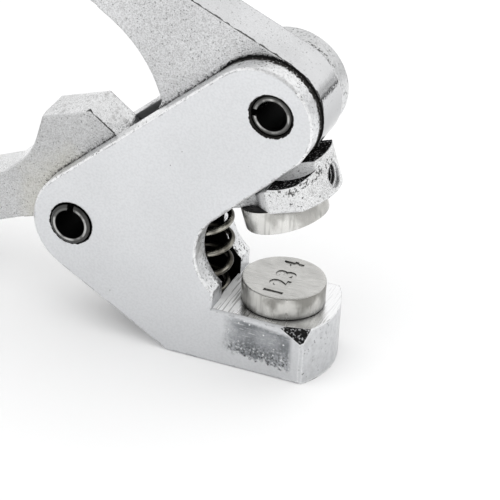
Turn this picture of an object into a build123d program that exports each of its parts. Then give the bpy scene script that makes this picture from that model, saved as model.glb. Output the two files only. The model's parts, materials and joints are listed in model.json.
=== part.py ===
"""Hand press for lead-and-wire seals: a slotted C frame, a jaw lever that ends in the
lower handle, and an upper handle whose heel drives the jaw down onto the anvil.

Millimetres. X points to the nose, Y runs across the frame along the hinge pins, and Z is
the axis of the lower die. The origin lies on the foot of the anvil, under the dies.
The press is drawn open, which is how its spring holds it.
"""
from build123d import *
import os
from math import asin, atan2, cos, degrees, hypot, pi, radians, sin, sqrt, tan

# Stock sizes
FRAME_WIDTH = 19.05
SLOT_WIDTH = 9.525
LEVER_SIDE_PLAY = 0.11
PIN_DIAMETER = 7.94
PIN_WALL = 1.1
PIN_SLIT = 1.3
PIN_EDGE = 0.3
REAR_PIN_STAND = 0.5
FRONT_PIN_STAND = -0.35
PIN_RUNNING_PLAY = 0.05
BORE_LIP = 0.4

# Pivots and travel
REAR_PIN = (-39.4, 22.2)
PIN_STEP = (38.1, 31.75)
OPEN_ANGLE = 19.1
FRONT_PIN = (REAR_PIN[0] + PIN_STEP[0], REAR_PIN[1] + PIN_STEP[1])

# Frame casting, side view
REAR_ROUND = (-36.4, 22.3)
REAR_ROUND_RADIUS = 10.8
LOBE = (-3.9, 52.2)
LOBE_RADIUS = 10.6
THROAT = (-4.6, 22.7)
THROAT_RADIUS = 9.8
THROAT_WALL_X = -10.5
FOOT_HEEL_X = -19.2
ANVIL_TOP = 11.5
NOSE_FRONT_X = 10.7
NOSE_EDGE_X = 7.6
FRAME_BEVEL = 0.4
SLOT_END_X = -10.9
WEB_TOP = 5.0
NOSE_FACET_REACH = 5.0
NOSE_FACET_DROP = 3.1
NOSE_FACET_STEP = (0.7, 1.5)

# Dies and their screws
DIE_DIAMETER = 15.875
DIE_HEAD = 4.5
DIE_EDGE = 0.25
SHANK_DIAMETER = 6.35
SHANK_LENGTH = 7.6
SHANK_PLAY = 0.05
SCREW_DIAMETER = 4.83
LOWER_SCREW_SINK = 1.5
UPPER_SCREW_SINK = 3.5
SCREW_SOCKET = 2.4
SCREW_SOCKET_DEPTH = 2.2
LOWER_SCREW_DROP = 3.9
UPPER_SCREW_RISE = 3.0

# Jaw lever, in its own frame: level when the die faces meet
JAW_TOP = 28.4
JAW_PAD_TOP = 32.8
JAW_PAD_FRONT_X = -14.8
JAW_PAD_SLOPE_X = -8.5
HEAD_WIDTH = 17.2
HEAD_FRONT_X = 11.5
HEAD_EDGE_X = 7.6
HEAD_SHOULDER_X = 1.1
HEAD_NECK_X = -2.9
HEAD_LOBE_GAP = 3.2
HEAD_ARM_GAP = 0.8
HUB_RADIUS = 7.3
HUMP_EDGE_TOP = 42.2
HUMP_CROWN = 0.9
HUMP_FRONT_X = -31.3
HUMP_REAR_X = -41.4
HUMP_FRONT_SLOPE = 54.8
HUMP_FALL = (4.6, 7.2)
HUMP_EDGE = 1.8
HUMP_SWEEP = 12.0
CAST_EDGE = 0.6
CAST_FILLET = 1.5
NECK = (-52.4, 27.0)
NECK_HEIGHT = 9.8
NECK_LEAN = 6.0
NECK_BOTTOM = 22.1

# Upper handle
CAM_LOBE_RADIUS = 11.0
CAM_FRONT_ANGLE = -24.0
HEEL = (-23.0, 45.5)
HEEL_FRONT_ANGLE = -50.0
HEEL_REAR_ANGLE = -144.0
HEEL_GAP = 0.2
RIDGE_SLOPE = 23.7
UPPER_ENTRY = (-24.1, 49.2)
UPPER_BEND = (-27.9, 59.05)
UPPER_SWEEP = 26.0
UPPER_ROOT = (-34.8, 70.6)
UPPER_ROOT_SLOPE = 28.0
UPPER_ROOT_HEIGHT = 12.0

# Handle grips: the lower one bows until it touches the bench
GRIP_WIDTH = 15.6
GRIP_HEIGHT = 12.2
GRIP_CORNER = 5.2
GRIP_ROOT_CORNER = 0.4
GRIP_FULL_SHARE = 0.55
GRIP_STATIONS = 9
GRIP_TIP_ROUND = 4.0
UPPER_MID = (-97.0, 100.4)
UPPER_MID_SLOPE = 25.0
UPPER_TIP = (-166.0, 133.0)
UPPER_TIP_SLOPE = 26.0
LOWER_BELLY_X = -128.0
LOWER_TIP = (-194.0, 9.4)
LOWER_TIP_SLOPE = 5.0

# Return spring
SPRING_X = -15.5
SPRING_SLOT_PLAY = 0.26
SPRING_WIRE = 1.1
SPRING_TURNS = 6.5
SPRING_SEAT_DEPTH = 0.6
SPRING_TOP = 29.2
SPRING_SEAT_ROOM = 0.4
SPRING_SIDE_PLAY = 0.2
SPRING_END_PLAY = 0.03

LEVER_THICKNESS = SLOT_WIDTH - 2 * LEVER_SIDE_PLAY
HUMP_TOP = HUMP_EDGE_TOP + HUMP_CROWN
SPRING_DIAMETER = SLOT_WIDTH - 2 * SPRING_SLOT_PLAY
FACE_HEIGHT = ANVIL_TOP + DIE_HEAD
JAW_SEAT = FACE_HEIGHT + DIE_HEAD
HALF_WIDTH = FRAME_WIDTH / 2
FAR = 100.0


def polar(center, radius, angle):
    """Point at an angle in degrees on a circle of the side view."""
    a = radians(angle)
    return (center[0] + radius * cos(a), center[1] + radius * sin(a))


def tangent(c1, r1, side1, c2, r2, side2):
    """Touch points of a straight line from circle 1 to circle 2; side is 1 where the line passes on
    the left of the centre, seen along the line, and -1 on the right."""
    dx = c2[0] - c1[0]
    dz = c2[1] - c1[1]
    a = atan2(dz, dx) - asin((side1 * r1 - side2 * r2) / hypot(dx, dz))
    normal = (-sin(a), cos(a))
    start = (c1[0] + side1 * r1 * normal[0], c1[1] + side1 * r1 * normal[1])
    end = (c2[0] + side2 * r2 * normal[0], c2[1] + side2 * r2 * normal[1])
    return start, end


def arc(center, radius, start, end, turn):
    """Arc from start to end about a centre; turn is 1 for anticlockwise in the side view."""
    a0 = atan2(start[1] - center[1], start[0] - center[0])
    a1 = atan2(end[1] - center[1], end[0] - center[0])
    sweep = (turn * (a1 - a0)) % (2 * pi)
    middle = polar(center, radius, degrees(a0 + turn * sweep / 2))
    return ThreePointArc(start, middle, end)


def rounded(corners, close=False):
    """Edges through corners (x, z, radius), each corner rounded with its own radius."""
    edges = []
    last = None
    count = len(corners)
    for i, (x, z, r) in enumerate(corners):
        here = Vector(x, z)
        if r == 0 or (not close and i in (0, count - 1)):
            begin = finish = here
        else:
            back = (Vector(*corners[i - 1][:2]) - here).normalized()
            ahead = (Vector(*corners[(i + 1) % count][:2]) - here).normalized()
            half = back.get_angle(ahead) / 2
            reach = r / tan(radians(half))
            begin = here + back * reach
            finish = here + ahead * reach
            middle = here + (back + ahead).normalized() * (r / sin(radians(half)) - r)
        if last is not None:
            edges.append(Line(last, begin))
        else:
            first = begin
        if begin != finish:
            edges.append(ThreePointArc(begin, middle, finish))
        last = finish
    if close:
        edges.append(Line(last, first))
    return edges


def plate(edges, thickness):
    """Solid of a closed side view, centred on the middle plane of the frame."""
    face = make_face(Plane.XZ * Curve(edges))
    return extrude(face, thickness / 2, dir=(0, 1, 0), both=True)


def across(place, radius, length):
    """Cylinder along Y about a point of the side view."""
    return Pos(place[0], 0, place[1]) * Rot(90, 0, 0) * Cylinder(radius, length)


def block(x0, x1, y0, y1, z0, z1):
    """Box between named limits."""
    return Pos((x0 + x1) / 2, (y0 + y1) / 2, (z0 + z1) / 2) * Box(abs(x1 - x0), abs(y1 - y0), abs(z1 - z0))


def opened(shape):
    """Turn a piece from the jaw's level frame to the open position."""
    axle = Pos(REAR_PIN[0], 0, REAR_PIN[1])
    return axle * Rot(0, -OPEN_ANGLE, 0) * axle.inverse() * shape


def rounded_front(front_x, edge_x, half_width):
    """Everything behind an arc that bulges to front_x from corners at edge_x."""
    plan = make_face([
        ThreePointArc((edge_x, -half_width), (front_x, 0), (edge_x, half_width)),
        Polyline((edge_x, half_width), (-FAR, half_width), (-FAR, -half_width), (edge_x, -half_width)),
    ])
    return extrude(plan, FAR, both=True)


def frame_outline():
    """Side view of the C frame."""
    wall_top = (THROAT_WALL_X, THROAT[1] - sqrt(THROAT_RADIUS ** 2 - (THROAT_WALL_X - THROAT[0]) ** 2))
    throat_end, lobe_start = tangent(THROAT, THROAT_RADIUS, 1, LOBE, LOBE_RADIUS, -1)
    lobe_end, rear_start = tangent(LOBE, LOBE_RADIUS, -1, REAR_ROUND, REAR_ROUND_RADIUS, -1)
    heel = (FOOT_HEEL_X, 0)
    rear_end, heel = tangent(REAR_ROUND, REAR_ROUND_RADIUS, -1, heel, 0, -1)
    front = 2 * NOSE_FRONT_X
    return [
        Line(heel, (front, 0)),
        Line((front, 0), (front, ANVIL_TOP)),
        Line((front, ANVIL_TOP), (THROAT_WALL_X, ANVIL_TOP)),
        Line((THROAT_WALL_X, ANVIL_TOP), wall_top),
        arc(THROAT, THROAT_RADIUS, wall_top, throat_end, -1),
        Line(throat_end, lobe_start),
        arc(LOBE, LOBE_RADIUS, lobe_start, lobe_end, 1),
        Line(lobe_end, rear_start),
        arc(REAR_ROUND, REAR_ROUND_RADIUS, rear_start, rear_end, 1),
        Line(rear_end, heel),
    ]


def nose_facet():
    """Wedge that takes the near top corner off the nose."""
    top = Vector(NOSE_EDGE_X - NOSE_FACET_REACH, -HALF_WIDTH, ANVIL_TOP)
    low = Vector(NOSE_EDGE_X, -HALF_WIDTH, ANVIL_TOP - NOSE_FACET_DROP)
    front = Vector(NOSE_EDGE_X + NOSE_FACET_STEP[0], NOSE_FACET_STEP[1] - HALF_WIDTH, ANVIL_TOP)
    cutter = Box(FAR, FAR, FAR, align=(Align.CENTER, Align.CENTER, Align.MIN))
    half_space = Plane(origin=top, x_dir=low - top, z_dir=(low - top).cross(front - top)) * cutter
    return half_space & block(0, FAR, -FAR, 0, 0, ANVIL_TOP)


def make_frame():
    """Slotted casting with two cheeks, the anvil and a web below the spring."""
    body = plate(frame_outline(), FRAME_WIDTH)
    ahead = block(0, FAR, -FAR, FAR, -FAR, ANVIL_TOP)
    body -= ahead - rounded_front(NOSE_FRONT_X, NOSE_EDGE_X, HALF_WIDTH)
    sides = [e for e in body.edges() if abs(abs(e.center().Y) - HALF_WIDTH) < 1e-6]
    body = chamfer(sides, FRAME_BEVEL)
    half_slot = SLOT_WIDTH / 2
    body -= block(-FAR, SLOT_END_X, -half_slot, half_slot, WEB_TOP, FAR)
    body -= block(SLOT_END_X, FAR, -half_slot, half_slot, ANVIL_TOP, FAR)
    body -= nose_facet()
    for pin in (REAR_PIN, FRONT_PIN):
        body -= across(pin, PIN_DIAMETER / 2, FRAME_WIDTH)
        for side in (-1, 1):
            lip = Cone(PIN_DIAMETER / 2, PIN_DIAMETER / 2 + BORE_LIP, BORE_LIP)
            mouth = side * (HALF_WIDTH - BORE_LIP / 2)
            body -= Pos(pin[0], mouth, pin[1]) * Rot(-90 * side, 0, 0) * lip
    pocket = Cylinder(SPRING_DIAMETER / 2 + SPRING_SIDE_PLAY, 2 * SPRING_SEAT_DEPTH)
    body -= Pos(SPRING_X, 0, WEB_TOP) * pocket
    body -= Pos(0, 0, ANVIL_TOP) * Cylinder(SHANK_DIAMETER / 2 + SHANK_PLAY, 2 * (SHANK_LENGTH + SHANK_PLAY))
    screw_way = Cylinder(SCREW_DIAMETER / 2, FAR, align=(Align.CENTER, Align.CENTER, Align.MIN))
    return body - Pos(0, 0, ANVIL_TOP - LOWER_SCREW_DROP) * Rot(-90, 0, 0) * screw_way


def make_pin(place, stand, slit_angle):
    """Slotted spring pin, pressed into both cheeks; each end stands out of its cheek, or in if negative."""
    length = FRAME_WIDTH + 2 * stand
    outer = PIN_DIAMETER / 2
    rod = Cylinder(outer, length)
    rod = chamfer(rod.edges().filter_by(GeomType.CIRCLE), PIN_EDGE)
    tube = rod - Cylinder(outer - PIN_WALL, length)
    slit = Pos(outer, 0, 0) * Box(2 * outer, PIN_SLIT, length)
    pin = Rot(90, 0, 0) * (tube - Rot(0, 0, slit_angle) * slit)
    return Pos(place[0], 0, place[1]) * pin


def make_die():
    """Die with its face up at Z = 0."""
    head = Cylinder(DIE_DIAMETER / 2, DIE_HEAD, align=(Align.CENTER, Align.CENTER, Align.MAX))
    head = chamfer(head.edges().filter_by(GeomType.CIRCLE), DIE_EDGE)
    shank = Cylinder(SHANK_DIAMETER / 2, SHANK_LENGTH, align=(Align.CENTER, Align.CENTER, Align.MAX))
    shank = chamfer(shank.edges().group_by(Axis.Z)[0], DIE_EDGE)
    return head + Pos(0, 0, -DIE_HEAD) * shank


def make_screw(length):
    """Headless socket screw along +X, with its point at X = 0."""
    body = Cylinder(SCREW_DIAMETER / 2, length, align=(Align.CENTER, Align.CENTER, Align.MIN))
    body = chamfer(body.edges().group_by(Axis.Z)[0], 2 * DIE_EDGE)
    socket = extrude(RegularPolygon(SCREW_SOCKET / 2, 6, major_radius=False), -SCREW_SOCKET_DEPTH)
    return Rot(0, 90, 0) * (body - Pos(0, 0, length) * socket)


def make_grip(root_height, points, slopes):
    """Cast grip along a bowed line; it swells from the flat tongue to a rounded handle."""
    leads = [(-cos(radians(slope)), sin(radians(slope))) for slope in slopes]
    spine = Plane.XZ * Spline(*points, tangents=leads)
    sections = []
    for step in range(GRIP_STATIONS + 1):
        share = step / GRIP_STATIONS
        part = min(1, share / GRIP_FULL_SHARE)
        swell = part * part * (3 - 2 * part)
        width = LEVER_THICKNESS + (GRIP_WIDTH - LEVER_THICKNESS) * swell
        height = root_height + (GRIP_HEIGHT - root_height) * swell
        corner = GRIP_ROOT_CORNER + (GRIP_CORNER - GRIP_ROOT_CORNER) * swell
        lie = Plane(origin=spine.position_at(share), x_dir=(0, 1, 0), z_dir=spine.tangent_at(share))
        sections.append(lie * RectangleRounded(width, height, corner))
    grip = loft(sections)
    tip = grip.faces().sort_by(Axis.X)[0]
    return fillet(tip.edges(), GRIP_TIP_ROUND)


def jaw_outline():
    """Side view of the jaw lever's tongue, in its level frame."""
    hub_front = (REAR_PIN[0] + sqrt(HUB_RADIUS ** 2 - (REAR_PIN[1] - JAW_SEAT) ** 2), JAW_SEAT)
    hub_rear = (REAR_PIN[0] - sqrt(HUB_RADIUS ** 2 - (REAR_PIN[1] - NECK_BOTTOM) ** 2), NECK_BOTTOM)
    neck_top = polar(NECK, NECK_HEIGHT / 2, 90 + NECK_LEAN)
    neck_low = polar(NECK, NECK_HEIGHT / 2, NECK_LEAN - 90)
    run = 1 / tan(radians(HUMP_FRONT_SLOPE))
    pad_rear_x = HUMP_FRONT_X + (HUMP_EDGE_TOP - JAW_PAD_TOP) * run
    crown_front_x = HUMP_FRONT_X - HUMP_CROWN * run
    crown_rear_x = HUMP_REAR_X + HUMP_CROWN * HUMP_FALL[0] / HUMP_FALL[1]
    front = 2 * HEAD_FRONT_X
    top = rounded([
        (front, JAW_SEAT, 0), (front, JAW_TOP, 0), (JAW_PAD_SLOPE_X, JAW_TOP, CAST_FILLET),
        (JAW_PAD_FRONT_X, JAW_PAD_TOP, CAST_EDGE), (pad_rear_x, JAW_PAD_TOP, CAST_FILLET),
        (crown_front_x, HUMP_TOP, CAST_EDGE), (crown_rear_x, HUMP_TOP, HUMP_EDGE),
        (HUMP_REAR_X - HUMP_FALL[0], HUMP_EDGE_TOP - HUMP_FALL[1], HUMP_SWEEP),
        (*neck_top, 0), (*neck_low, 0), (*hub_rear, 0),
    ])
    return top + [arc(REAR_PIN, HUB_RADIUS, hub_rear, hub_front, 1), Line(hub_front, (front, JAW_SEAT))]


def below_crown():
    """Everything under the rounded top of the hump, in the jaw's level frame."""
    edge = LEVER_THICKNESS / 2
    out = LEVER_THICKNESS
    section = make_face(Plane.YZ * Curve([
        ThreePointArc((-edge, HUMP_EDGE_TOP), (0, HUMP_TOP), (edge, HUMP_EDGE_TOP)),
        Polyline((edge, HUMP_EDGE_TOP), (out, HUMP_EDGE_TOP), (out, -FAR), (-out, -FAR),
                 (-out, HUMP_EDGE_TOP), (-edge, HUMP_EDGE_TOP)),
    ]))
    return extrude(section, FAR, both=True)


def jaw_head():
    """Wide die holder in front of the cheeks, cut away where the cheeks stand when the press is open."""
    half = HEAD_WIDTH / 2
    neck = LEVER_THICKNESS / 2
    plan = make_face(Polyline(
        (FAR, -half), (FAR, half), (HEAD_SHOULDER_X, half), (HEAD_NECK_X, neck),
        (HEAD_NECK_X, -neck), (HEAD_SHOULDER_X, -half), close=True))
    head = Pos(0, 0, JAW_SEAT) * extrude(plan, JAW_TOP - JAW_SEAT)
    head = opened(head & rounded_front(HEAD_FRONT_X, HEAD_EDGE_X, half))
    throat_end, lobe_start = tangent(THROAT, THROAT_RADIUS, 1, LOBE, LOBE_RADIUS, -1)
    lean = degrees(atan2(lobe_start[1] - throat_end[1], lobe_start[0] - throat_end[0]))
    above = Box(2 * FAR, 2 * FAR, FAR, align=(Align.CENTER, Align.CENTER, Align.MIN))
    arm_room = Pos(lobe_start[0], 0, lobe_start[1]) * Rot(0, -lean, 0) * Pos(0, 0, -HEAD_ARM_GAP) * above
    behind_lobe = block(-FAR, lobe_start[0], -FAR, FAR, -FAR, FAR)
    room = across(LOBE, LOBE_RADIUS + HEAD_LOBE_GAP, FAR) + (arm_room & behind_lobe)
    return head - room


def make_jaw():
    """Jaw lever and lower handle in one casting, open."""
    tongue = plate(jaw_outline(), LEVER_THICKNESS)
    tongue &= rounded_front(HEAD_FRONT_X, HEAD_EDGE_X, HEAD_WIDTH / 2)
    tongue &= below_crown()
    lever = opened(tongue) + jaw_head()
    root = opened(Pos(NECK[0], 0, NECK[1])).position
    points = [(root.X, root.Z), (LOWER_BELLY_X, GRIP_HEIGHT / 2), LOWER_TIP]
    lever += make_grip(NECK_HEIGHT, points, (-OPEN_ANGLE - NECK_LEAN, 0, LOWER_TIP_SLOPE))
    lever -= across(REAR_PIN, PIN_DIAMETER / 2 + PIN_RUNNING_PLAY, FRAME_WIDTH)
    shank_way = Cylinder(SHANK_DIAMETER / 2 + SHANK_PLAY, 2 * (SHANK_LENGTH + SHANK_PLAY))
    screw_way = Cylinder(SCREW_DIAMETER / 2, FAR, align=(Align.CENTER, Align.CENTER, Align.MIN))
    lever -= opened(Pos(0, 0, JAW_SEAT) * shank_way)
    lever -= opened(Pos(0, 0, JAW_SEAT + UPPER_SCREW_RISE) * Rot(0, 90, 0) * screw_way)
    reach = SPRING_DIAMETER / 2 + SPRING_SEAT_ROOM
    return lever - block(SPRING_X - reach, SPRING_X + reach, -FAR, FAR, 0, SPRING_TOP)


def upper_outline():
    """Side view of the upper handle's tongue: cam lobe, heel and root."""
    jaw_pad = JAW_PAD_TOP - REAR_PIN[1]
    lean = radians(OPEN_ANGLE)
    heel_height = (HEEL[1] - REAR_PIN[1]) * cos(lean) - (HEEL[0] - REAR_PIN[0]) * sin(lean)
    heel_radius = heel_height - jaw_pad - HEEL_GAP
    crest = polar(LOBE, CAM_LOBE_RADIUS, 90 - RIDGE_SLOPE)
    front = polar(LOBE, CAM_LOBE_RADIUS, CAM_FRONT_ANGLE)
    heel_front = polar(HEEL, heel_radius, HEEL_FRONT_ANGLE)
    heel_rear = polar(HEEL, heel_radius, HEEL_REAR_ANGLE)
    a = radians(UPPER_ROOT_SLOPE)
    rise = UPPER_ROOT_HEIGHT / 2
    root_low = (UPPER_ROOT[0] - rise * sin(a), UPPER_ROOT[1] - rise * cos(a))
    root_high = (UPPER_ROOT[0] + rise * sin(a), UPPER_ROOT[1] + rise * cos(a))
    under = rounded([
        (*heel_rear, 0), (*UPPER_ENTRY, CAST_FILLET), (*UPPER_BEND, UPPER_SWEEP),
        (*root_low, 0), (*root_high, 0), (*crest, 0),
    ])
    return under + [
        arc(LOBE, CAM_LOBE_RADIUS, crest, front, -1),
        Line(front, heel_front),
        arc(HEEL, heel_radius, heel_front, heel_rear, -1),
    ]


def make_upper_handle():
    """Cam lever between the cheeks, with its grip."""
    handle = plate(upper_outline(), LEVER_THICKNESS)
    points = [UPPER_ROOT, UPPER_MID, UPPER_TIP]
    handle += make_grip(UPPER_ROOT_HEIGHT, points, (UPPER_ROOT_SLOPE, UPPER_MID_SLOPE, UPPER_TIP_SLOPE))
    return handle - across(FRONT_PIN, PIN_DIAMETER / 2 + PIN_RUNNING_PLAY, FRAME_WIDTH)


def make_spring():
    """Open coil swept on half-turn arcs, with a straight end of one wire at each tip."""
    radius = (SPRING_DIAMETER - SPRING_WIRE) / 2
    bottom = WEB_TOP - SPRING_SEAT_DEPTH + SPRING_WIRE / 2 + SPRING_END_PLAY
    top = SPRING_TOP - SPRING_WIRE / 2 - SPRING_END_PLAY
    steps = round(4 * SPRING_TURNS)
    pitch = (top - bottom) / SPRING_TURNS

    def on_helix(quarter):
        turn = quarter / 4
        a = 2 * pi * turn
        return Vector(SPRING_X + radius * cos(a), radius * sin(a), bottom + pitch * turn)

    edges = []
    for step in range(0, steps - 1, 2):
        edges.append(ThreePointArc(on_helix(step), on_helix(step + 1), on_helix(step + 2)))
    lead = edges[0] % 0
    tail = edges[-1] % 1
    start = on_helix(0) - lead * SPRING_WIRE
    end = on_helix(steps) + tail * SPRING_WIRE
    path = Wire([Line(start, on_helix(0))] + edges + [Line(on_helix(steps), end)])
    section = Plane(origin=start, z_dir=lead) * Circle(SPRING_WIRE / 2)
    print("spring least gap to itself", round(pitch * cos(atan2(pitch, 2 * pi * radius)) - SPRING_WIRE, 3))
    return sweep(section, path=path)


def build():
    """All pieces by node name, in the open position."""
    die = make_die()
    screw_start = SHANK_DIAMETER / 2
    lower_screw = make_screw(HALF_WIDTH - LOWER_SCREW_SINK - screw_start)
    upper_screw = make_screw(HEAD_FRONT_X - UPPER_SCREW_SINK - screw_start)
    return {
        "frame": make_frame(),
        "jaw_lever": make_jaw(),
        "upper_handle": make_upper_handle(),
        "front_pivot_pin": make_pin(FRONT_PIN, FRONT_PIN_STAND, 180),
        "rear_pivot_pin": make_pin(REAR_PIN, REAR_PIN_STAND, 90),
        "return_spring": make_spring(),
        "lower_die": Pos(0, 0, FACE_HEIGHT) * die,
        "upper_die": opened(Pos(0, 0, FACE_HEIGHT) * Rot(180, 0, 0) * die),
        "lower_die_screw": Pos(0, screw_start, ANVIL_TOP - LOWER_SCREW_DROP) * Rot(0, 0, 90) * lower_screw,
        "upper_die_screw": opened(Pos(screw_start, 0, JAW_SEAT + UPPER_SCREW_RISE) * upper_screw),
    }


def main():
    """Write one STEP file for each piece."""
    os.makedirs("parts", exist_ok=True)
    for name, shape in build().items():
        shape.label = name
        export_step(shape, f"parts/{name}.step")


main()
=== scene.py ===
"""Dressed scene of a hand press for lead-and-wire seals.

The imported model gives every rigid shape. This script finishes each piece with a procedural
material, replaces the coil spring and the two dies with fuller pieces, puts a thread into the
jaw's screw hole, and sets up a pale studio with the photograph's viewing angle.

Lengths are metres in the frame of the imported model: X towards the nose, Y along the pivot pins,
Z up the axis of the lower die.
"""
import json
import logging
import math
from dataclasses import dataclass
from enum import Enum
from typing import Callable, Iterable, Optional, Sequence, Union

import bmesh
import bpy
from mathutils import Matrix, Vector


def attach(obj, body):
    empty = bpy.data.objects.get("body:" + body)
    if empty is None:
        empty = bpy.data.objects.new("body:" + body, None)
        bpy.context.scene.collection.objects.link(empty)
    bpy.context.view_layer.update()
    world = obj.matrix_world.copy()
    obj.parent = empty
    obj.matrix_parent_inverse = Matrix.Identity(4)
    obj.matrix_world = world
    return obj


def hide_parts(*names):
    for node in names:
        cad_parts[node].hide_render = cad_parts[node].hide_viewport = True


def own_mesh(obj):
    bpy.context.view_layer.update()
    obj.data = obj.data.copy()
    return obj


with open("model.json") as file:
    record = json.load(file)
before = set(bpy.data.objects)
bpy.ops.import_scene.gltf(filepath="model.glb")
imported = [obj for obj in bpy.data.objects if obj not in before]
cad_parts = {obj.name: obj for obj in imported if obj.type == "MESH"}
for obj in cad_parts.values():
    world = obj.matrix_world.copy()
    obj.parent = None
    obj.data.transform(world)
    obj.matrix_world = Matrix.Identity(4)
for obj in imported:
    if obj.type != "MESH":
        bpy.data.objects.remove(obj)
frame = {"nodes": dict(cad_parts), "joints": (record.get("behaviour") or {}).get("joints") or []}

Color = tuple[float, float, float]
Triple = tuple[float, float, float]
Span = tuple[float, float]
Axis = tuple[float, float]
Socket = bpy.types.NodeSocket
Feed = Union[float, Sequence[float], Socket]


def hinge_axis(name: str) -> Axis:
    """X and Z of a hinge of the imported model."""
    place = next(joint["pos_m"] for joint in frame["joints"] if joint["name"] == name)
    return place[0], place[2]


LOG = logging.getLogger("seal_press")
MM = 0.001
REAR_PIN = hinge_axis("jaw_hinge")
FRONT_PIN = hinge_axis("handle_hinge")
LOBE = (-3.9 * MM, 52.2 * MM)
CRUST_AND_SHADE_ROUGHNESS = 0.9


class Body(Enum):
    """Rigid bodies that carry new pieces."""

    FRAME = "press_frame"
    JAW = "jaw"


class Slot(Enum):
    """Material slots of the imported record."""

    LEVER = "plated_lever"
    SPRING = "spring_steel"
    DIE = "die_steel"


def dimmed(color: Color, share: float) -> Color:
    """A darker shade of a colour."""
    return color[0] * share, color[1] * share, color[2] * share


class Nodes:
    """A node tree while it is put together."""

    def __init__(self, tree: bpy.types.NodeTree) -> None:
        """Keep the tree."""
        self.tree = tree

    def node(self, kind: str, **settings: object) -> bpy.types.Node:
        """Add a node.

        Args:
            kind: Blender's node type name.
            settings: Node properties to set.

        Returns:
            The new node.
        """
        made = self.tree.nodes.new(kind)
        for key, value in settings.items():
            setattr(made, key, value)
        return made

    def feed(self, socket: Socket, value: Feed) -> None:
        """Link a socket to another one, or set its constant.

        Args:
            socket: Input to fill.
            value: An output socket or a constant.
        """
        if isinstance(value, bpy.types.NodeSocket):
            self.tree.links.new(value, socket)
        else:
            socket.default_value = value

    def parts(self, vector: Socket) -> list[Socket]:
        """Components of a vector.

        Args:
            vector: The vector.

        Returns:
            Its X, Y and Z.
        """
        made = self.node("ShaderNodeSeparateXYZ")
        self.feed(made.inputs[0], vector)
        return list(made.outputs)

    def math(self, operation: str, first: Feed, second: Feed = 0.0) -> Socket:
        """One arithmetic step.

        Args:
            operation: Name of the math node's operation.
            first: First value.
            second: Second value.

        Returns:
            The result.
        """
        made = self.node("ShaderNodeMath", operation=operation)
        self.feed(made.inputs[0], first)
        self.feed(made.inputs[1], second)
        return made.outputs[0]

    def plus(self, first: Feed, second: Feed) -> Socket:
        """Sum of two values."""
        return self.math("ADD", first, second)

    def both(self, first: Feed, second: Feed) -> Socket:
        """Product of two shares."""
        return self.math("MULTIPLY", first, second)

    def either(self, first: Feed, second: Feed) -> Socket:
        """Larger one of two shares."""
        return self.math("MAXIMUM", first, second)

    def rest(self, share: Socket) -> Socket:
        """What a share leaves of one."""
        return self.math("SUBTRACT", 1.0, share)

    def shift(self, noise: Socket, reach: Feed) -> Socket:
        """Way to either side that follows a noise about 0.5."""
        return self.both(self.math("SUBTRACT", noise, 0.5), reach)

    def ramp(self, value: Feed, low: float, high: float, start: Feed = 0.0, end: Feed = 1.0) -> Socket:
        """Smooth step of a value between two limits.

        Args:
            value: Value to map.
            low: Where the step starts.
            high: Where the step ends.
            start: Result below low.
            end: Result above high.

        Returns:
            The mapped value.
        """
        made = self.node("ShaderNodeMapRange", interpolation_type="SMOOTHSTEP")
        for socket, item in zip(made.inputs, (value, low, high, start, end)):
            self.feed(socket, item)
        return made.outputs[0]

    def window(self, value: Socket, low: float, high: float, soft: float) -> Socket:
        """Soft window of a value between two limits.

        Args:
            value: Value to test.
            low: Lower limit.
            high: Upper limit.
            soft: Width of the soft border.

        Returns:
            1 inside and 0 outside.
        """
        rise = self.ramp(value, low - soft, low + soft)
        fall = self.ramp(value, high - soft, high + soft, 1.0, 0.0)
        return self.both(rise, fall)

    def blend(self, share: Feed, first: Feed, second: Feed) -> Socket:
        """Mix two numbers.

        Args:
            share: Share of the second number.
            first: First number.
            second: Second number.

        Returns:
            The mixed number.
        """
        made = self.node("ShaderNodeMix", data_type="FLOAT")
        self.feed(made.inputs[0], share)
        self.feed(made.inputs[2], first)
        self.feed(made.inputs[3], second)
        return made.outputs[0]


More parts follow.
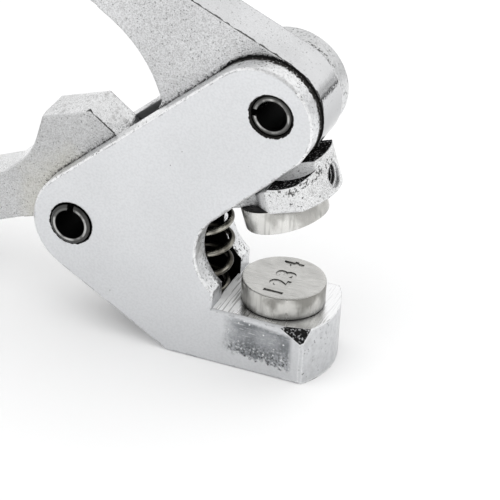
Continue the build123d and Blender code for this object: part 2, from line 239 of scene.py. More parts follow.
class Shader(Nodes):
    """A procedural material while it is put together."""

    def __init__(self, name: str) -> None:
        """Start the material and take its coordinates.

        Args:
            name: Name of the new material.
        """
        self.material = bpy.data.materials.new(name)
        self.material.use_nodes = True
        super().__init__(self.material.node_tree)
        self.surface = self.tree.nodes["Principled BSDF"]
        coordinates = self.node("ShaderNodeTexCoord")
        self.place = coordinates.outputs["Object"]
        self.facing = coordinates.outputs["Normal"]
        self.x, self.y, self.z = self.parts(self.place)
        self.nx, self.ny, self.nz = self.parts(self.facing)

    def from_axis(self, axis: Axis) -> Socket:
        """Distance from an axis along Y.

        Args:
            axis: X and Z of the axis.

        Returns:
            The distance in metres.
        """
        dx = self.math("SUBTRACT", self.x, axis[0])
        dz = self.math("SUBTRACT", self.z, axis[1])
        return self.math("SQRT", self.plus(self.both(dx, dx), self.both(dz, dz)))

    def edges(self, radius: float, upper: bool = False) -> Socket:
        """Lines along the edges of the shape.

        Args:
            radius: How far a line reaches from its edge, in metres.
            upper: Whether only edges that face upwards count.

        Returns:
            1 at an edge and 0 away from it.
        """
        rounded = self.soft_edges(radius)
        turned = self.node("ShaderNodeVectorMath", operation="DOT_PRODUCT")
        self.feed(turned.inputs[0], rounded)
        self.feed(turned.inputs[1], self.node("ShaderNodeNewGeometry").outputs["True Normal"])
        lines = self.ramp(turned.outputs["Value"], 0.93, 0.985, 1.0, 0.0)
        if not upper:
            return lines
        return self.both(lines, self.ramp(self.parts(rounded)[2], 0.1, 0.25))

    def stretched(self, factors: Sequence[float]) -> Socket:
        """Object coordinates scaled by a factor on each axis.

        Args:
            factors: The three factors.

        Returns:
            The scaled vector.
        """
        made = self.node("ShaderNodeVectorMath", operation="MULTIPLY")
        self.feed(made.inputs[0], self.place)
        self.feed(made.inputs[1], factors)
        return made.outputs[0]

    def noise(self, size: float, detail: float = 2.0, vector: Optional[Socket] = None) -> Socket:
        """Fractal noise.

        Args:
            size: Size of the largest features, in metres.
            detail: Number of octaves.
            vector: Coordinates, if not the object's own.

        Returns:
            Noise about 0.5.
        """
        made = self.node("ShaderNodeTexNoise")
        self.feed(made.inputs["Vector"], vector or self.place)
        made.inputs["Scale"].default_value = 1 / size
        made.inputs["Detail"].default_value = detail
        return made.outputs["Fac"]

    def pits(self, spacing: float, radius: float, share: float) -> Socket:
        """Scattered round pits.

        Args:
            spacing: Mean distance of neighbouring cells, in metres.
            radius: Radius of a pit, in metres.
            share: Share of the cells that have a pit.

        Returns:
            1 inside a pit and 0 outside.
        """
        cells = self.node("ShaderNodeTexVoronoi")
        self.feed(cells.inputs["Vector"], self.place)
        cells.inputs["Scale"].default_value = 1 / spacing
        inside = self.ramp(cells.outputs["Distance"], 0.4 * radius / spacing, radius / spacing, 1.0, 0.0)
        lot = self.node("ShaderNodeSeparateColor")
        self.feed(lot.inputs[0], cells.outputs["Color"])
        chosen = self.math("LESS_THAN", lot.outputs[0], share)
        return self.both(inside, chosen)

    def mix(self, share: Feed, first: Feed, second: Feed) -> Socket:
        """Mix two colours.

        Args:
            share: Share of the second colour.
            first: First colour.
            second: Second colour.

        Returns:
            The mixed colour.
        """
        made = self.node("ShaderNodeMix", data_type="RGBA")
        self.feed(made.inputs["Factor"], share)
        self.feed(made.inputs[6], first if isinstance(first, bpy.types.NodeSocket) else (*first, 1.0))
        self.feed(made.inputs[7], second if isinstance(second, bpy.types.NodeSocket) else (*second, 1.0))
        return made.outputs[2]

    def soft_edges(self, radius: float) -> Socket:
        """Normal with the edges rounded off.

        Args:
            radius: Radius of the rounding, in metres.

        Returns:
            The rounded normal.
        """
        made = self.node("ShaderNodeBevel", samples=6)
        made.inputs["Radius"].default_value = radius
        return made.outputs[0]

    def crevices(self, reach: float) -> Socket:
        """Share of the surroundings that nearby surfaces hide.

        Args:
            reach: How near they are, in metres.

        Returns:
            0 in the open and 1 deep in a gap.
        """
        made = self.node("ShaderNodeAmbientOcclusion", samples=6)
        made.inputs["Distance"].default_value = reach
        return self.rest(made.outputs["AO"])

    def relief(self, layers: Iterable[tuple[Socket, float, Feed]], normal: Optional[Socket] = None) -> None:
        """Stack bump layers and feed the surface's normal.

        Args:
            layers: For each layer its height, its depth in metres and its strength.
            normal: Normal below the first layer.
        """
        last = normal
        for height, depth, strength in layers:
            bump = self.node("ShaderNodeBump")
            self.feed(bump.inputs["Height"], height)
            bump.inputs["Distance"].default_value = depth
            self.feed(bump.inputs["Strength"], strength)
            if last is not None:
                self.feed(bump.inputs["Normal"], last)
            last = bump.outputs[0]
        if last is not None:
            self.feed(self.surface.inputs["Normal"], last)

    def metal(self, color: Socket, roughness: Feed, share: Feed = 1.0) -> None:
        """Make the surface a metal.

        Args:
            color: Colour of the reflection.
            roughness: Roughness of the reflection.
            share: How far it mirrors; the rest scatters light, as a filed or sandy skin does.
        """
        self.feed(self.surface.inputs["Base Color"], color)
        self.feed(self.surface.inputs["Roughness"], roughness)
        self.feed(self.surface.inputs["Metallic"], share)
        self.surface.inputs["Specular IOR Level"].default_value = 0.0


@dataclass(frozen=True)
class CastingFinish:
    """Nickel plate on the frame: satin cheeks, crumbly rims with painted highlights, painted shade in the
    slot and in the mouths of the pin bores, ground anvil, rubbed patch.
    """

    color: Color = (0.74, 0.75, 0.765)
    pale_and_highlight: Color = (0.95, 0.953, 0.958)
    far_rim: Color = (0.72, 0.725, 0.73)
    pit_color: Color = (0.06, 0.06, 0.06)
    crumb_and_shade_black: Color = (0.022, 0.021, 0.02)
    facet_dark_reflection: Color = (0.02, 0.02, 0.02)
    score_color: Color = (0.2, 0.19, 0.18)
    worn_dark: Color = (0.2, 0.21, 0.22)
    worn_light: Color = (0.36, 0.37, 0.385)
    facet_facing: Triple = (0.24, -0.89, 0.385)
    roughness: float = 0.36
    rubbed_roughness: float = 0.22
    filed_roughness: float = 0.5
    edge_radius: float = 0.35 * MM
    anvil_top: float = 11.5 * MM
    slot_half: float = 4.9 * MM
    slot_front: float = -11.2 * MM
    slot_light_z: Span = (30 * MM, 38 * MM)
    foot_z: Span = (-4 * MM, 26 * MM)
    corner_x: Span = (3 * MM, 5 * MM)
    scored_x: Span = (0.0, 5 * MM)
    filed_x: Span = (-8.5 * MM, -5 * MM)
    far_rim_y: Span = (-2 * MM, 2 * MM)
    far_rim_z: Span = (34 * MM, 42 * MM)
    far_crumbs_y: Span = (4 * MM, 6 * MM)
    crumbs_depth: Span = (4.9 * MM, 6.8 * MM)
    band_depth: Span = (5.7 * MM, 6.2 * MM)
    band_x: Span = (-16 * MM, -9 * MM)
    band_y: Span = (-2 * MM, 0.0)
    patch_x: Span = (-7.2 * MM, 5.7 * MM)
    patch_z: Span = (2.3 * MM, 10.2 * MM)
    patch_slope: float = 0.11
    patch_lines_z: Span = (6 * MM, 7.5 * MM)
    patch_foot_z: Span = (3.6 * MM, 7.2 * MM)
    pins: tuple[Axis, ...] = (REAR_PIN, FRONT_PIN)
    lip: float = 4.42 * MM

    def material(self) -> bpy.types.Material:
        """Build the material.

        Returns:
            The finished material.
        """
        s = Shader("satin_nickel_casting")
        grain = s.noise(0.45 * MM, 4)
        waves = s.noise(1.3 * MM, 4)
        streaks = s.noise(1.0, 5, s.stretched((2400.0, 130.0, 0.0)))
        pits = s.pits(2.6 * MM, 0.13 * MM, 0.32)
        depth = s.math("ABSOLUTE", s.y)
        cheek = s.ramp(s.math("ABSOLUTE", s.ny), 0.75, 0.95)
        dark = s.either(cheek, s.math("LESS_THAN", s.x, self.slot_front))
        slot = s.both(s.math("LESS_THAN", depth, self.slot_half), dark)
        low = s.ramp(s.z, self.anvil_top + 0.5 * MM, self.anvil_top + 2.5 * MM, 1.0, 0.0)
        on_top = s.both(s.ramp(s.nz, 0.8, 0.95), low)
        rim = s.both(s.both(s.rest(cheek), s.rest(slot)), s.rest(low))
        nose = s.both(s.both(s.ramp(s.nx, 0.2, 0.6), low), s.rest(slot))
        rubbed = s.both(self.patch(s), s.math("LESS_THAN", s.ny, -0.9))
        # Dark crumbs on the rims and a band of painted shade beside the cam.
        crust_and_shade = s.both(rim, self.crumbs(s, depth))
        tint = s.mix(rubbed, self.plate(s, grain, waves, nose), self.worn(s))
        tint = s.mix(crust_and_shade, self.rims(s, tint, rim, grain), self.crumb_and_shade_black)
        tint = s.mix(pits, self.knocks(s, tint, low), self.pit_color)
        pocks = s.both(s.pits(0.6 * MM, 0.2 * MM, 0.4), s.ramp(s.noise(3 * MM), 0.42, 0.6, 0.1, 0.8))
        tint = s.mix(s.both(nose, pocks), tint, self.pit_color)
        scored = s.both(s.ramp(streaks, 0.52, 0.59), s.ramp(s.x, *self.scored_x, 0.55, 0.1))
        tint = s.mix(on_top, tint, s.mix(scored, self.pale_and_highlight, self.score_color))
        # Painted dark reflection: the ground facet on the nose is near black.
        tint = s.mix(self.facet(s), tint, self.facet_dark_reflection)
        # Painted shade in the mouths of the pin bores.
        tint = s.mix(self.lips(s), tint, self.crumb_and_shade_black)
        # Painted shade: the walls inside the slot are near black, a little lighter towards the top of the
        # slot.
        inside = s.mix(s.ramp(s.z, *self.slot_light_z, 0.0, 0.3), self.crumb_and_shade_black, self.color)
        tint = s.mix(slot, tint, inside)
        filed = s.both(on_top, s.ramp(s.x, *self.filed_x, 1.0, 0.0))
        rough = s.blend(s.ramp(grain, 0.3, 0.7), self.roughness - 0.05, self.roughness + 0.06)
        rough = s.blend(rubbed, rough, self.rubbed_roughness)
        rough = s.blend(on_top, rough, s.blend(filed, self.rubbed_roughness, self.filed_roughness))
        rough = s.blend(crust_and_shade, rough, CRUST_AND_SHADE_ROUGHNESS)
        s.metal(tint, rough, s.both(s.blend(filed, 1.0, 0.1), s.rest(crust_and_shade)))
        s.relief([
            (grain, 0.02 * MM, 0.45),
            (waves, 0.35 * MM, s.both(rim, 0.7)),
            (streaks, 0.2 * MM, s.both(on_top, 0.35)),
            (pits, -0.1 * MM, 0.6),
        ], s.soft_edges(self.edge_radius))
        return s.material

    def plate(self, s: Shader, grain: Socket, waves: Socket, nose: Socket) -> Socket:
        """Colour of the cheeks and the nose, with painted shade that darkens it a little towards the foot.

        Args:
            s: Shader to add to.
            grain: Fine noise.
            waves: Coarse noise.
            nose: Share of the nose.

        Returns:
            The colour.
        """
        tint = s.mix(s.ramp(s.noise(22 * MM, 3), 0.3, 0.7), self.color, dimmed(self.color, 0.94))
        # Painted shade: a little darker towards the foot.
        tint = s.mix(s.ramp(s.z, *self.foot_z, 0.14, 0.0), tint, self.pit_color)
        tint = s.mix(s.both(nose, s.ramp(waves, 0.35, 0.7, 0.02, 0.15)), tint, self.pit_color)
        return s.mix(s.ramp(grain, 0.35, 0.7, 0.0, 0.07), tint, self.pit_color)

    def rims(self, s: Shader, tint: Socket, rim: Socket, grain: Socket) -> Socket:
        """Paint a highlight on the near rims, weaker where they face ahead, and give the far rims a plainer
        grey.

        Args:
            s: Shader to add to.
            tint: Colour so far.
            rim: Share of the rims.
            grain: Fine noise.

        Returns:
            The colour.
        """
        far = s.both(s.ramp(s.y, *self.far_rim_y), s.ramp(s.z, *self.far_rim_z))
        # Painted highlight on the near rims, with painted shade where they face ahead.
        near = s.mix(s.ramp(s.nx, 0.5, 0.95, 0.0, 0.7), self.pale_and_highlight, self.color)
        tint = s.mix(rim, tint, s.mix(far, near, self.far_rim))
        return s.mix(s.both(rim, s.ramp(grain, 0.45, 0.72, 0.0, 0.25)), tint, self.pit_color)

    def knocks(self, s: Shader, tint: Socket, low: Socket) -> Socket:
        """Paint a highlight on the corners of the nose, and draw the dark chips along the edges.

        Args:
            s: Shader to add to.
            tint: Colour so far.
            low: Share of the anvil.

        Returns:
            The colour.
        """
        # Painted highlight along the nose's vertical corner.
        corner = s.both(s.both(s.edges(0.9 * MM), low), s.ramp(s.x, *self.corner_x))
        tint = s.mix(s.both(corner, 0.8), tint, self.pale_and_highlight)
        chips = s.both(s.edges(0.45 * MM), s.ramp(s.noise(1.7 * MM, 4), 0.53, 0.61, 0.0, 0.75))
        return s.mix(chips, tint, self.pit_color)

    def patch(self, s: Shader) -> Socket:
        """Outline of the rubbed patch on the anvil's side, soft above and ragged below.

        Args:
            s: Shader to add to.

        Returns:
            Share of the rubbed finish.
        """
        low, high = self.patch_z
        rear, front = self.patch_x
        height = s.math("SUBTRACT", s.z, s.both(s.math("SUBTRACT", front, s.x), self.patch_slope))
        ragged = s.shift(s.noise(0.8 * MM, 5), s.ramp(height, low, high, 4.0 * MM, 0.6 * MM))
        wander = s.shift(s.noise(3 * MM, 3), 5 * MM)
        along = s.plus(s.plus(s.x, ragged), wander)
        in_x = s.both(s.ramp(along, rear - 1.2 * MM, rear + 2.2 * MM),
                      s.ramp(s.x, front - 0.9 * MM, front + 0.3 * MM, 1.0, 0.0))
        in_z = s.window(s.math("SUBTRACT", height, ragged), low, high - 0.6 * MM, 0.45 * MM)
        return s.both(in_x, in_z)

    def worn(self, s: Shader) -> Socket:
        """Colour inside the rubbed patch: grey with fine bright lines, and crumbs along its foot.

        Args:
            s: Shader to add to.

        Returns:
            The colour.
        """
        base = s.mix(s.ramp(s.noise(5 * MM, 3), 0.35, 0.65), self.worn_dark, self.worn_light)
        lines = s.noise(1.0, 4, s.stretched((330.0, 0.0, 3400.0)))
        upper = s.ramp(s.z, *self.patch_lines_z)
        base = s.mix(s.both(upper, s.ramp(lines, 0.58, 0.68, 0.0, 0.55)), base, self.color)
        base = s.mix(s.both(s.pits(1.0 * MM, 0.24 * MM, 0.32), 0.75), base, self.pale_and_highlight)
        crumbs = s.noise(0.5 * MM, 4)
        foot = s.ramp(s.z, *self.patch_foot_z, 1.0, 0.15)
        base = s.mix(s.both(foot, s.ramp(crumbs, 0.56, 0.68, 0.0, 0.7)), base, self.pale_and_highlight)
        return s.mix(s.both(foot, s.ramp(crumbs, 0.4, 0.49, 0.85, 0.0)), base, self.pit_color)

    def crumbs(self, s: Shader, depth: Socket) -> Socket:
        """Dark crumbs on the rims, densest beside the slot, and a band of painted shade beside the cam, in
        the gap round it.

        Args:
            s: Shader to add to.
            depth: Distance from the middle plane.

        Returns:
            Share of the dark colour.
        """
        fine = s.noise(0.5 * MM, 4)
        beside = s.ramp(depth, *self.crumbs_depth, 1.0, 0.0)
        level = s.plus(fine, s.both(beside, 0.11))
        level = s.plus(level, s.ramp(s.y, *self.far_crumbs_y, 0.0, 0.02))
        patches = s.shift(s.noise(4.5 * MM, 2), 0.35)
        crumbs_and_gap_shade = s.ramp(s.plus(level, patches), 0.6, 0.74, 0.0, 0.85)
        ragged = s.plus(depth, s.shift(fine, 2.2 * MM))
        round_cam = s.both(s.ramp(s.x, *self.band_x), s.ramp(s.y, *self.band_y, 1.0, 0.0))
        glints = s.ramp(s.noise(0.4 * MM, 3), 0.6, 0.7, 1.0, 0.1)
        band = s.both(s.both(s.ramp(ragged, *self.band_depth, 1.0, 0.0), round_cam), glints)
        return s.either(crumbs_and_gap_shade, band)

    def facet(self, s: Shader) -> Socket:
        """Painted dark reflection on the ground facet at the near corner of the nose, broken by lighter
        flecks.

        Args:
            s: Shader to add to.

        Returns:
            Share of the dark colour.
        """
        facing: Feed = 0.0
        for share, part in zip(self.facet_facing, (s.nx, s.ny, s.nz)):
            facing = s.plus(facing, s.both(part, share))
        glint = s.ramp(s.noise(0.42 * MM, 3), 0.55, 0.66, 1.0, 0.05)
        return s.both(s.ramp(facing, 0.965, 0.985), glint)

    def lips(self, s: Shader) -> Socket:
        """Painted shade: dark mouths of the pin bores, where the gap round each pin lies in shade.

        Args:
            s: Shader to add to.

        Returns:
            Share of the dark colour.
        """
        ragged = s.shift(s.noise(0.7 * MM, 3), 0.5 * MM)
        mouths: Feed = 0.0
        for pin in self.pins:
            radius = s.plus(s.from_axis(pin), ragged)
            mouths = s.either(mouths, s.ramp(radius, self.lip - 0.1 * MM, self.lip, 1.0, 0.0))
        return mouths


@dataclass(frozen=True)
class LeverFinish:
    """Nickel plate over the sandy skin of a cast lever.

    Args:
        name: Material name.
        side_color: Colour of the sandy sides.
        top_lit_color: Painted light: the lighter colour of the faces that look up.
        front_shade_color: Painted shade: the darker colour of the faces that look down or ahead.
        top_sand: Share of the sand on the other faces.
        edge_line_from: X from which the near upper edge has a frayed black line.
        cam_polish: Share of the polish on the round front.
        hump_crumple: Depth of the crumpled skin on the hump.
        gap_shade_from: How hidden a place is where painted shade starts.
    """

    name: str
    side_color: Color
    top_lit_color: Color = (0.77, 0.775, 0.785)
    front_shade_color: Color = (0.36, 0.365, 0.375)
    top_sand: float = 0.3
    edge_line_from: float = -31 * MM
    cam_polish: float = 1.0
    hump_crumple: float = 0.0
    gap_shade_from: float = 0.36
    stain_color: Color = (0.66, 0.62, 0.44)
    head_color: Color = (0.83, 0.835, 0.84)
    brink_highlight: Color = (0.93, 0.935, 0.94)
    pit_color: Color = (0.05, 0.05, 0.048)
    shade_black: Color = (0.012, 0.012, 0.012)
    shade: Color = (0.2, 0.195, 0.19)
    side_roughness: float = 0.4
    top_roughness: float = 0.2
    cam_roughness: float = 0.07
    edge_radius: float = 0.55 * MM
    half_width: float = 4.65 * MM
    hump_from: float = -46 * MM
    stain_reach: Span = (13 * MM, 19 * MM)
    lobe_shade_edge: float = 11.05 * MM
    head_x: float = -4.0 * MM
    head_top: float = 44.8 * MM
    head_edge: float = 13.8 * MM
    hole_x: Span = (3 * MM, 4.5 * MM)
    hole_half: Span = (2.4 * MM, 2.7 * MM)

    def material(self) -> bpy.types.Material:
        """Build the material.

        Returns:
            The finished material.
        """
        s = Shader(self.name)
        sand = s.noise(0.27 * MM, 2)
        specks = s.noise(0.45 * MM, 4)
        crumple = s.noise(1.5 * MM, 4)
        swell = s.noise(5 * MM, 3)
        pits = s.pits(0.55 * MM, 0.16 * MM, 0.36)
        away = s.from_axis(LOBE)
        side = s.ramp(s.math("ABSOLUTE", s.ny), 0.6, 0.9)
        head = s.both(s.ramp(s.x, self.head_x - MM, self.head_x + MM),
                      s.ramp(s.z, self.head_top - 0.2 * MM, self.head_top, 1.0, 0.0))
        folds = s.ramp(s.x, self.hump_from - 2 * MM, self.hump_from, 0.0, self.hump_crumple)
        hump = s.both(s.rest(side), folds)
        cam = s.both(s.both(s.ramp(s.nx, 0.3, 0.6), s.rest(side)), self.cam_polish)
        sandy = s.both(s.blend(side, self.top_sand, 1.0), s.blend(cam, 1.0, 0.25))
        tint = self.sanded(s, self.plate(s, side), sand, sandy)
        stained = s.plus(s.from_axis(REAR_PIN), s.both(swell, 8 * MM))
        stain = s.ramp(stained, *self.stain_reach, 0.22, 0.0)
        tint = s.mix(s.both(stain, side), tint, self.stain_color)
        tint = s.mix(s.both(s.both(pits, sandy), 0.6), tint, self.pit_color)
        tint = s.mix(s.both(hump, s.ramp(crumple, 0.52, 0.7)), tint, self.shade)
        tint = s.mix(head, tint, self.head_skin(s, crumple, away))
        tint = s.mix(s.both(head, s.ramp(sand, 0.45, 0.7, 0.0, 0.4)), tint, self.shade)
        # Painted highlight along the edges that face up.
        tint = s.mix(s.both(s.edges(0.7 * MM, True), 0.6), tint, self.brink_highlight)
        # Frayed black line along the near upper edge, away from the sides and the die holder.
        edge_line = s.both(s.both(self.edge_line(s), s.rest(side)), s.rest(head))
        tint = s.mix(s.both(edge_line, 0.92), tint, self.pit_color)
        # Painted shade: black in the gaps between parts and round the frame's lobe.
        crumbs_and_gap_shade = s.both(self.gap_shade(s, specks, away, side), s.rest(head))
        crust_and_shade = s.either(crumbs_and_gap_shade, s.both(head, self.ledge(s, specks, away)))
        # Painted shade in black over the gaps, the hollow and the screw hole.
        tint = s.mix(crust_and_shade, tint, self.shade_black)
        polish = s.blend(cam, self.top_roughness, self.cam_roughness)
        rough = s.blend(side, polish, self.side_roughness)
        tongue = s.both(side, s.ramp(away, self.head_edge, self.head_edge + 0.3 * MM, 1.0, 0.0))
        matte = s.both(head, s.either(tongue, s.ramp(s.nx, -0.5, -0.25, 1.0, 0.0)))
        mirror = s.both(s.rest(crust_and_shade), s.blend(matte, 1.0, 0.2))
        s.metal(tint, s.blend(crust_and_shade, rough, CRUST_AND_SHADE_ROUGHNESS), mirror)
        s.relief([
            (swell, 0.4 * MM, 0.25),
            (sand, 0.16 * MM, sandy),
            (specks, 0.2 * MM, s.both(s.rest(side), s.both(sandy, 0.5))),
            (crumple, 0.9 * MM, s.either(s.both(head, 0.35), hump)),
            (pits, -0.12 * MM, 0.6),
        ], s.soft_edges(self.edge_radius))
        return s.material

    def plate(self, s: Shader, side: Socket) -> Socket:
        """Colour of the plate on each face, with painted light that makes upward faces lighter and faces
        looking down or ahead darker, and soft clouds.

        Args:
            s: Shader to add to.
            side: Share of the sides.

        Returns:
            The colour.
        """
        # Painted light and shade: faces that look up are lighter, faces that look down or ahead darker.
        tint = s.mix(s.ramp(s.nz, -0.3, 0.75, 1.0, 0.0), self.top_lit_color, self.front_shade_color)
        tint = s.mix(side, tint, self.side_color)
        cloud = s.both(s.ramp(s.noise(16 * MM, 3), 0.35, 0.7), 0.3)
        return s.mix(cloud, tint, dimmed(self.side_color, 0.6))

    def sanded(self, s: Shader, tint: Socket, sand: Socket, sandy: Socket) -> Socket:
        """Add the light and dark grains of the sandy skin.

        Args:
            s: Shader to add to.
            tint: Colour so far.
            sand: Noise of the grains.
            sandy: Share of the sandy skin.

        Returns:
            The colour.
        """
        tint = s.mix(s.both(s.ramp(sand, 0.4, 0.68, 0.0, 0.4), sandy), tint, self.shade)
        tint = s.mix(s.both(s.ramp(sand, 0.2, 0.34, 0.45, 0.0), sandy), tint, self.head_color)
        coarse = s.ramp(s.noise(0.55 * MM, 5), 0.4, 0.7, 0.0, 0.14)
        return s.mix(s.both(coarse, sandy), tint, self.shade)

    def gap_shade(self, s: Shader, specks: Socket, away: Socket, side: Socket) -> Socket:
        """Painted shade: black in the gaps, and a black line in the gap round the frame's lobe.

        Args:
            s: Shader to add to.
            specks: Fine noise.
            away: Distance from the lobe's axis.
            side: Share of the sides.

        Returns:
            Share of the painted shade.
        """
        hidden = s.plus(s.crevices(1.8 * MM), s.shift(specks, 0.9))
        gap_shade = s.ramp(hidden, self.gap_shade_from, self.gap_shade_from + 0.11)
        ragged = s.plus(away, s.shift(specks, 1.8 * MM))
        lobe_shade = s.ramp(ragged, self.lobe_shade_edge, self.lobe_shade_edge + 0.2 * MM, 1.0, 0.0)
        return s.either(gap_shade, s.both(lobe_shade, side))

    def edge_line(self, s: Shader) -> Socket:
        """Frayed black line along the near upper edge.

        Args:
            s: Shader to add to.

        Returns:
            Share of the black colour.
        """
        fray = s.shift(s.noise(1.3 * MM, 5), 1.9 * MM)
        inward = s.plus(s.plus(s.y, self.half_width), fray)
        line = s.both(s.ramp(inward, 0.3 * MM, 0.42 * MM, 1.0, 0.0), s.ramp(s.nz, 0.1, 0.3))
        line = s.both(line, s.math("GREATER_THAN", s.y, -self.half_width - 0.1 * MM))
        return s.both(line, s.ramp(s.x, self.edge_line_from - MM, self.edge_line_from))

    def ledge(self, s: Shader, specks: Socket, away: Socket) -> Socket:
        """Painted shade: black in the hollow above the die holder and inside its screw hole.

        Args:
            s: Shader to add to.
            specks: Fine noise.
            away: Distance from the lobe's axis.

        Returns:
            Share of the painted shade.
        """
        # Painted shade in the hollow under the frame's lobe, broken by lighter flecks.
        hollow = s.ramp(away, self.head_edge + 0.25 * MM, self.head_edge + 0.45 * MM, 1.0, 0.0)
        upward = s.both(s.ramp(s.nz, 0.1, 0.4), s.ramp(s.nx, 0.05, 0.2, 1.0, 0.0))
        glints = s.ramp(specks, 0.57, 0.67, 1.0, 0.2)
        hollow = s.both(s.both(hollow, upward), glints)
        # Painted shade deep in the screw hole.
        hole = s.both(s.ramp(s.crevices(4 * MM), 0.5, 0.7), s.ramp(s.x, *self.hole_x))
        hole = s.both(hole, s.ramp(s.math("ABSOLUTE", s.y), *self.hole_half, 1.0, 0.0))
        return s.either(hollow, hole)

    def head_skin(self, s: Shader, crumple: Socket, away: Socket) -> Socket:
        """Colour of the crumpled die holder, with black crumbs along its upper edge.

        Args:
            s: Shader to add to.
            crumple: Height of the crumpled skin.
            away: Distance from the lobe's axis.

        Returns:
            The colour.
        """
        skin = s.mix(s.ramp(crumple, 0.6, 0.74, 0.0, 0.6), self.head_color, self.shade)
        upper = s.window(away, self.head_edge, self.head_edge + 1.6 * MM, 0.5 * MM)
        crumbs = s.plus(s.noise(0.6 * MM, 5), s.both(upper, 0.12))
        return s.mix(s.ramp(crumbs, 0.64, 0.7, 0.0, 0.92), skin, self.pit_color)


@dataclass(frozen=True)
class PinFinish:
    """Dark rolled steel with a worn end face whose bright arcs are partly a painted highlight, and painted
    shade that makes the inside of the tube black.

    Args:
        name: Material name.
        axis: X and Z of the pin's axis.
        bore: Radius inside which painted shade makes the steel black.
        ring: Radii of the worn ring, whose bright arcs are partly a painted highlight.
        soft: Width of soft borders.
    """

    name: str
    axis: Axis
    bore: float = 2.9 * MM
    ring: Span = (3.0 * MM, 3.4 * MM)
    soft: float = 0.12 * MM
    color: Color = (0.07, 0.07, 0.068)
    worn: Color = (0.5, 0.5, 0.49)
    bore_shade: Color = (0.004, 0.004, 0.004)

    def material(self) -> bpy.types.Material:
        """Build the material.

        Returns:
            The finished material.
        """
        s = Shader(self.name)
        radius = s.from_axis(self.axis)
        inside = s.ramp(radius, self.bore, self.bore + self.soft, 1.0, 0.0)
        wear = s.noise(2.6 * MM, 3)
        ring = s.window(radius, *self.ring, self.soft)
        # Worn ring whose bright arcs are partly a painted highlight.
        bright = s.both(ring, s.ramp(wear, 0.42, 0.6, 0.15, 1.0))
        tint = s.mix(bright, self.color, self.worn)
        # Painted shade: the inside of the tube is black.
        s.metal(s.mix(inside, tint, self.bore_shade), s.blend(inside, 0.3, 0.6))
        s.relief([(wear, 0.06 * MM, 0.5)], s.soft_edges(0.25 * MM))
        return s.material


@dataclass(frozen=True)
class DieFinish:
    """Turned tool steel with a satin face and streaked sides, with painted dark reflections on the sides and
    painted shade in the crevices and on the seat.

    Args:
        name: Material name.
        seat_facing: Sign of the Z direction in which the seat faces.
        side_color: Colour of the sides.
        banding: Share of the painted dark reflections on the sides.
    """

    name: str
    seat_facing: float
    side_color: Color = (0.58, 0.575, 0.55)
    banding: float = 0.75
    face_color: Color = (0.64, 0.635, 0.615)
    dark_color: Color = (0.15, 0.145, 0.13)
    seat_shade: Color = (0.015, 0.014, 0.013)
    roughness: float = 0.3

    def material(self) -> bpy.types.Material:
        """Build the material.

        Returns:
            The finished material.
        """
        s = Shader(self.name)
        face = s.ramp(s.math("ABSOLUTE", s.nz), 0.8, 0.9)
        brushed = s.noise(1.0, 4, s.stretched((500.0, 5000.0, 40.0)))
        streaked = s.noise(1.0, 3, s.stretched((1100.0, 1100.0, 60.0)))
        # Painted reflections: dark bands that follow the direction each face looks.
        bands = s.noise(0.55, 4, s.facing)
        marks = s.blend(face, streaked, brushed)
        cloud = s.noise(5 * MM, 3)
        flat = s.mix(s.ramp(cloud, 0.35, 0.7), self.face_color, dimmed(self.face_color, 0.86))
        wall = s.mix(s.ramp(bands, 0.42, 0.64, 0.0, self.banding), self.side_color, self.dark_color)
        wall = s.mix(s.ramp(streaked, 0.52, 0.72, 0.0, 0.4), wall, self.dark_color)
        tint = s.mix(face, wall, s.mix(s.ramp(brushed, 0.5, 0.75, 0.0, 0.25), flat, self.dark_color))
        # Painted shade in the crevices: in the digits, at the seat and in the gaps beside the die.
        hidden = s.plus(s.crevices(2.4 * MM), s.shift(cloud, 0.5))
        tint = s.mix(s.ramp(hidden, 0.3, 0.52, 0.0, 0.94), tint, self.seat_shade)
        # Painted shade on the seat, the face towards the anvil or the jaw.
        seat = s.ramp(s.both(s.nz, self.seat_facing), 0.8, 0.9, 0.0, 0.85)
        tint = s.mix(seat, tint, self.seat_shade)
        s.metal(tint, s.blend(s.ramp(marks, 0.3, 0.7), self.roughness - 0.06, self.roughness + 0.1))
        s.relief([(marks, 0.03 * MM, 0.4)], s.soft_edges(0.15 * MM))
        return s.material


@dataclass(frozen=True)
class WireFinish:
    """Oiled spring wire with drawing marks, darkened on its far side by painted shade."""

    color: Color = (0.47, 0.455, 0.4)
    shade: Color = (0.13, 0.12, 0.1)
    back_shade: Color = (0.03, 0.027, 0.022)
    back_shade_y: Span = (-1.5 * MM, 1.5 * MM)

    def material(self) -> bpy.types.Material:
        """Build the material.

        Returns:
            The finished material.
        """
        s = Shader("oiled_spring_wire")
        film = s.noise(2.2 * MM, 4)
        scratches = s.noise(0.25 * MM, 3)
        tint = s.mix(s.ramp(film, 0.4, 0.7), self.color, self.shade)
        # Painted shade: the far side of the coil is darkened.
        tint = s.mix(s.ramp(s.y, *self.back_shade_y, 0.0, 0.85), tint, self.back_shade)
        s.metal(tint, s.ramp(film, 0.3, 0.7, 0.2, 0.38))
        s.relief([(scratches, 0.02 * MM, 0.4)])
        return s.material


@dataclass(frozen=True)
class ScrewFinish:
    """Black oxide, rubbed bright on the crests."""

    color: Color = (0.035, 0.034, 0.033)
    worn: Color = (0.2, 0.19, 0.18)

    def material(self) -> bpy.types.Material:
        """Build the material.

        Returns:
            The finished material.
        """
        s = Shader("black_oxide_screw")
        rub = s.noise(0.8 * MM, 4)
        s.metal(s.mix(s.ramp(rub, 0.52, 0.68), self.color, self.worn), 0.42)
        s.relief([(rub, 0.04 * MM, 0.4)], s.soft_edges(0.1 * MM))
        return s.material


